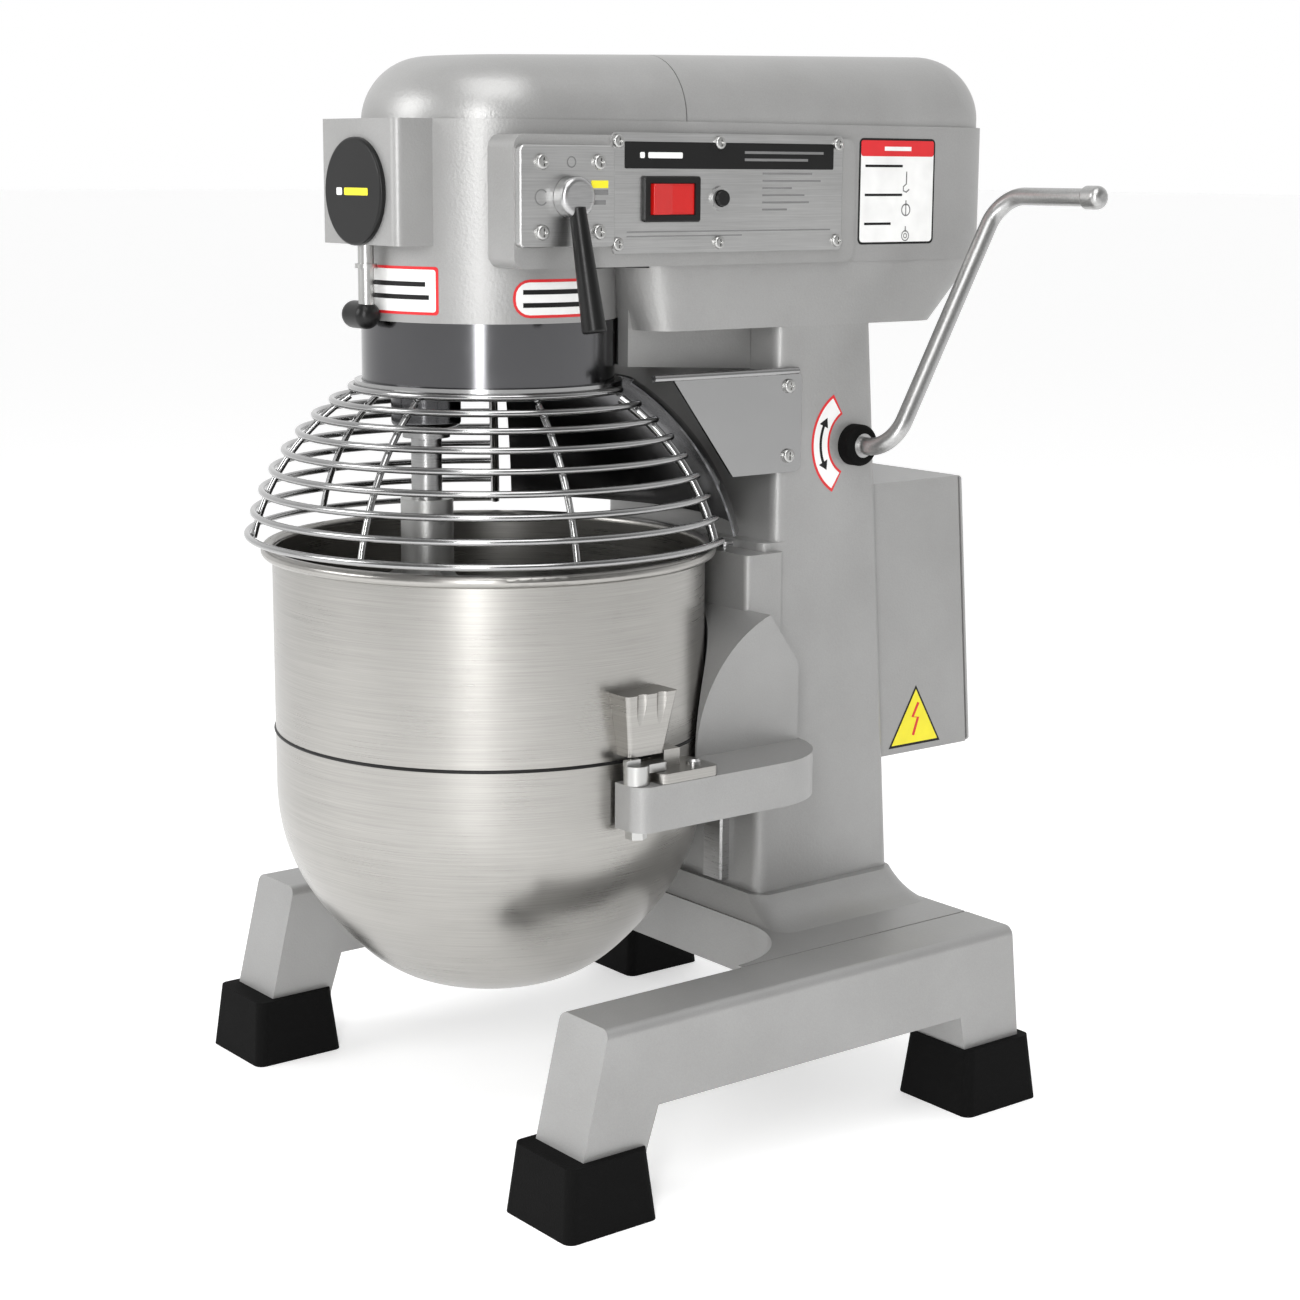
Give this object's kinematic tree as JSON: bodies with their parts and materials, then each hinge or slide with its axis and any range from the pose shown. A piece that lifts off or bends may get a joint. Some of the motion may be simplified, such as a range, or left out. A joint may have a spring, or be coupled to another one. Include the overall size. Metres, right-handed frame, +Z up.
{
  "type": "commercial planetary stand mixer",
  "caption": "Bench stand mixer with a lever-raised bowl in a yoke, a wire guard that swings open, a planetary flat beater, a gear head and a covered front attachment hub.",
  "frame": {"origin": "on the floor under the middle of the whole machine's outline", "axes": "+Z up, -Y towards the front where the bowl and hub are, +X to the control side and lift lever"},
  "size_m": [0.49, 0.5841, 0.7788],
  "materials": {
    "painted": "satin",
    "boot": "matte",
    "black": "gloss",
    "red": "gloss",
    "panel": "satin",
    "steel": "satin",
    "bowl": "brushed",
    "chrome": "polished",
    "dark": "polished",
    "gear": "machined",
    "bronze": "machined",
    "iron": "cast",
    "beater": "satin",
    "contactor": "matte"
  },
  "bodies": {
    "frame": {"base_casting": "painted", "rubber_boots": "boot", "column": "painted", "slide_ways": "painted", "head_housing": "painted", "front_top_cover": "painted", "rear_top_cover": "painted", "hub_cover_disc": "black", "shift_plate": "painted", "shift_plate_screws": "steel", "control_panel": "panel", "control_panel_screws": "steel", "switch_bezel": "black", "drum_collar": "dark", "rear_splash_sheet": "dark", "guard_brackets": "steel", "guard_bracket_screws": "steel", "lift_bush": "boot", "ring_gear": "gear", "shaft_bearings": "bronze", "layshaft_bridge": "iron", "gear_case_plate": "iron", "motor_case": "iron", "motor_stator": "iron", "electrical_box": "steel", "electrical_box_lid": "steel", "electrical_box_screws": "steel", "cable_gland": "black", "motor_contactor": "contactor", "terminal_block": "black"},
    "hub_clamp": {"hub_clamp_screw": "steel", "hub_clamp_knob": "black"},
    "speed_lever": {"shift_shaft": "steel", "shift_grip": "black"},
    "rocker": {"power_rocker": "red"},
    "stop_button": {"stop_button": "black"},
    "guard": {"guard_rings": "chrome", "guard_ribs": "chrome"},
    "carrier": {"planet_carrier": "dark", "main_shaft": "steel", "main_gear": "gear"},
    "agitator": {"agitator_shaft": "steel", "flat_beater": "beater"},
    "layshaft": {"layshaft": "steel", "layshaft_large_gear": "gear"},
    "rotor": {"motor_rotor": "gear"},
    "hub_drive": {"hub_drive_shaft": "steel"},
    "yoke": {"bowl_yoke": "painted", "lift_rack": "steel", "rack_bolts": "steel", "bowl_locating_pins": "steel", "mixing_bowl": "bowl", "bowl_lugs": "bowl"},
    "lift_lever": {"lift_sector": "steel", "lift_shaft": "steel", "lift_lever_rod": "steel", "lift_lever_cap": "black"},
    "clamp_right": {"bowl_clamp_right": "steel"},
    "clamp_left": {"bowl_clamp_left": "steel"}
  },
  "joints": [
    {"name": "hub_clamp_turn", "type": "hinge", "parent": "frame", "child": "hub_clamp", "pos_m": [-0.002, -0.2175, 0.594], "axis": [0, 0, 1], "range_deg": [0, 170]},
    {"name": "speed_lever_turn", "type": "hinge", "parent": "frame", "child": "speed_lever", "pos_m": [0.116, -0.131, 0.675], "axis": [1, 0, 0], "range_deg": [-35, 35]},
    {"name": "rocker_turn", "type": "hinge", "parent": "frame", "child": "rocker", "pos_m": [0.111, -0.0425, 0.6735], "axis": [0, 0, 1], "range_deg": [-12, 0]},
    {"name": "stop_button_press", "type": "slide", "parent": "frame", "child": "stop_button", "axis": [-1, 0, 0], "range_m": [0, 0.0025], "stiffness_N_per_m": 400},
    {"name": "guard_swing", "type": "hinge", "parent": "frame", "child": "guard", "pos_m": [-0.002, -0.1165, 0.541], "axis": [0, 0, 1], "range_deg": [0, 110]},
    {"name": "carrier_spin", "type": "hinge", "parent": "frame", "child": "carrier", "pos_m": [-0.002, -0.1165, 0.6], "axis": [0, 0, 1], "continuous": true},
    {"name": "agitator_spin", "type": "hinge", "parent": "carrier", "child": "agitator", "pos_m": [-0.02983, -0.15186, 0.54], "axis": [0, 0, 1], "continuous": true},
    {"name": "layshaft_spin", "type": "hinge", "parent": "frame", "child": "layshaft", "pos_m": [-0.002, -0.0165, 0.68], "axis": [0, 0, 1], "continuous": true},
    {"name": "rotor_spin", "type": "hinge", "parent": "frame", "child": "rotor", "pos_m": [-0.002, 0.0685, 0.68], "axis": [0, 0, 1], "continuous": true},
    {"name": "hub_drive_spin", "type": "hinge", "parent": "frame", "child": "hub_drive", "pos_m": [-0.002, -0.1765, 0.6775], "axis": [0, -1, 0], "continuous": true},
    {"name": "yoke_slide", "type": "slide", "parent": "frame", "child": "yoke", "axis": [0, 0, 1], "range_m": [-0.0754, 0]},
    {"name": "lift_lever_turn", "type": "hinge", "parent": "frame", "child": "lift_lever", "pos_m": [0.144, 0.1425, 0.492], "axis": [1, 0, 0], "range_deg": [0, 90.1]},
    {"name": "clamp_right_turn", "type": "hinge", "parent": "yoke", "child": "clamp_right", "pos_m": [0.17, -0.1145, 0.27], "axis": [0, 0, 1], "range_deg": [-90, 0]},
    {"name": "clamp_left_turn", "type": "hinge", "parent": "yoke", "child": "clamp_left", "pos_m": [-0.174, -0.1145, 0.27], "axis": [0, 0, 1], "range_deg": [0, 90]}
  ],
  "couplings": [
    {"joint": "agitator_spin", "follows": "carrier_spin", "ratio": -3},
    {"joint": "layshaft_spin", "follows": "carrier_spin", "ratio": -3},
    {"joint": "rotor_spin", "follows": "carrier_spin", "ratio": 8.3333},
    {"joint": "hub_drive_spin", "follows": "carrier_spin", "ratio": 1},
    {"joint": "lift_lever_turn", "follows": "yoke_slide", "rad_per_m": -20.833}
  ]
}
